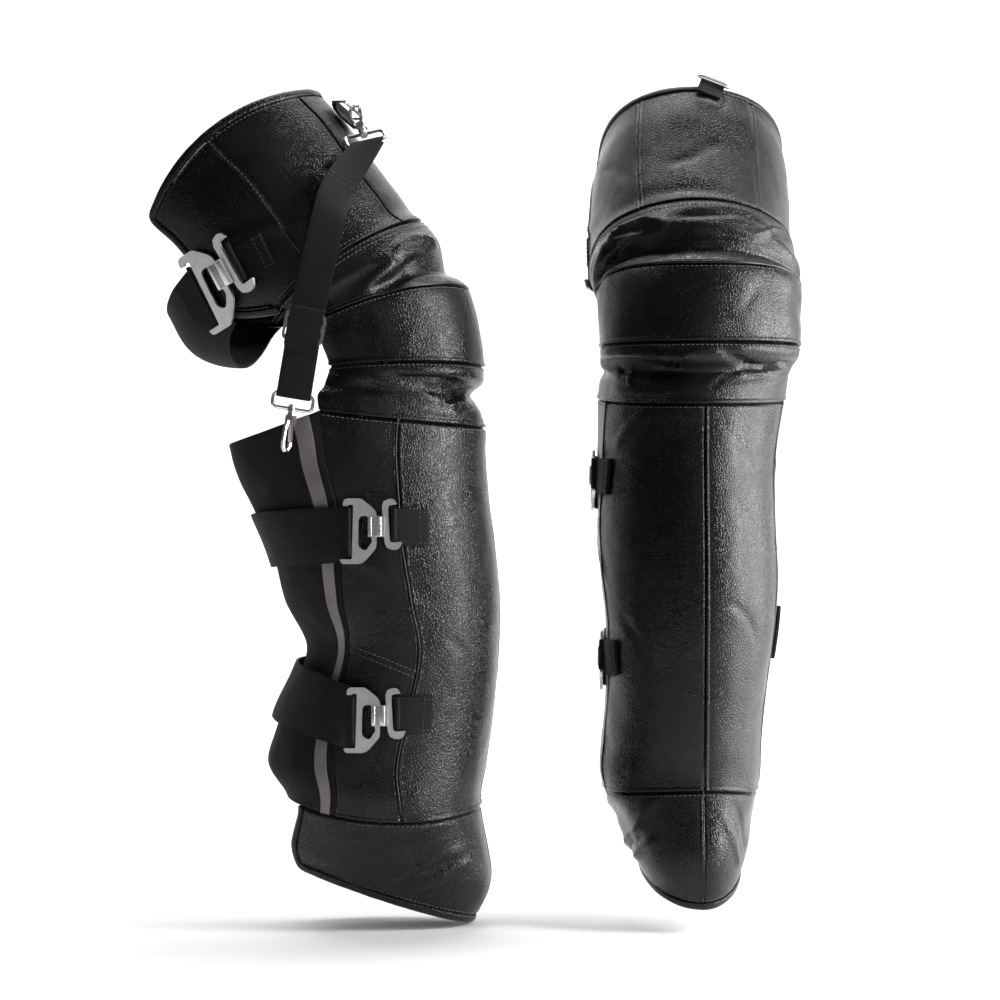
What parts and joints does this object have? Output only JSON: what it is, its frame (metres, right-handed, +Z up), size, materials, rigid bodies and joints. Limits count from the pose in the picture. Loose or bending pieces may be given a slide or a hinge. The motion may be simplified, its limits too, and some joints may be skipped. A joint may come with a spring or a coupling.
{
  "type": "pair of motorcycle leg warmers",
  "caption": "Leather leg and knee warmers with bent open-backed thigh, banded knee, wrapped calf, flared foot, webbing, elastic straps and buckles.",
  "frame": {"origin": "centre of the side warmer's knee, inside its hollow, where the wearer's knee holds it", "axes": "+Z up along the leg, +X towards the side warmer's front, -Y the side warmer's outer side; the front warmer faces -Y"},
  "size_m": [0.5537, 0.3182, 0.7345],
  "materials": {
    "leather": "pebbled, satin",
    "wrap_fabric": "matt brushed",
    "elastic": "ribbed, matt",
    "webbing": "woven, matt",
    "reflective": "grey reflective tape",
    "buckle_metal": "satin",
    "snap_metal": "polished nickel"
  },
  "bodies": {
    "root": {"side_thigh_front": "leather", "side_thigh_outer": "leather", "side_thigh_inner": "leather", "side_thigh_binding": "leather", "side_knee_upper": "leather", "side_knee_cap": "leather", "side_knee_lower": "leather", "side_shin_outer": "leather", "side_shin_inner": "leather", "side_calf_outer": "leather", "side_calf_inner": "leather", "side_foot_outer": "leather", "side_foot_inner": "leather", "side_foot_binding": "leather", "side_calf_wrap": "wrap_fabric", "side_reflective_tape": "reflective", "side_thigh_elastic": "elastic", "side_calf_elastic": "elastic", "side_ankle_elastic": "elastic", "side_thigh_tab": "webbing", "side_calf_tab": "webbing", "side_ankle_tab": "webbing", "side_top_loop": "webbing", "side_top_ring": "snap_metal", "side_thigh_buckle": "buckle_metal", "side_calf_buckle": "buckle_metal", "side_ankle_buckle": "buckle_metal", "front_thigh_front": "leather", "front_thigh_outer": "leather", "front_thigh_inner": "leather", "front_thigh_binding": "leather", "front_knee_upper": "leather", "front_knee_cap": "leather", "front_knee_lower": "leather", "front_shin_outer": "leather", "front_shin_inner": "leather", "front_calf_outer": "leather", "front_calf_inner": "leather", "front_foot_outer": "leather", "front_foot_inner": "leather", "front_foot_binding": "leather", "front_calf_wrap": "wrap_fabric", "front_reflective_tape": "reflective", "front_thigh_elastic": "elastic", "front_calf_elastic": "elastic", "front_ankle_elastic": "elastic", "front_thigh_tab": "webbing", "front_calf_tab": "webbing", "front_ankle_tab": "webbing", "front_top_loop": "webbing", "front_top_ring": "snap_metal", "front_thigh_buckle": "buckle_metal", "front_calf_buckle": "buckle_metal", "front_ankle_buckle": "buckle_metal", "side_hanging_strap": "webbing", "side_slider": "snap_metal", "side_upper_snap": "snap_metal"},
    "snap_eye": {"side_snap_eye": "snap_metal"},
    "snap_hook": {"side_snap_hook": "snap_metal"},
    "snap_gate": {"side_snap_gate": "snap_metal"}
  },
  "joints": [
    {"name": "eye_swing", "type": "hinge", "parent": "root", "child": "snap_eye", "pos_m": [-0.091, -0.093, -0.046], "axis": [-0.9864, 0, 0.1644], "range_deg": [-5, 80]},
    {"name": "hook_swivel", "type": "hinge", "parent": "snap_eye", "child": "snap_hook", "pos_m": [-0.09297, -0.09252, -0.05783], "axis": [0.1643, -0.0404, 0.9856], "continuous": true},
    {"name": "gate_press", "type": "hinge", "parent": "snap_hook", "child": "snap_gate", "pos_m": [-0.09348, -0.0898, -0.06829], "axis": [-0.8678, 0.4691, 0.1638], "range_deg": [0, 20], "stiffness_Nm_per_rad": 0.02, "springref_deg": -5.73}
  ]
}
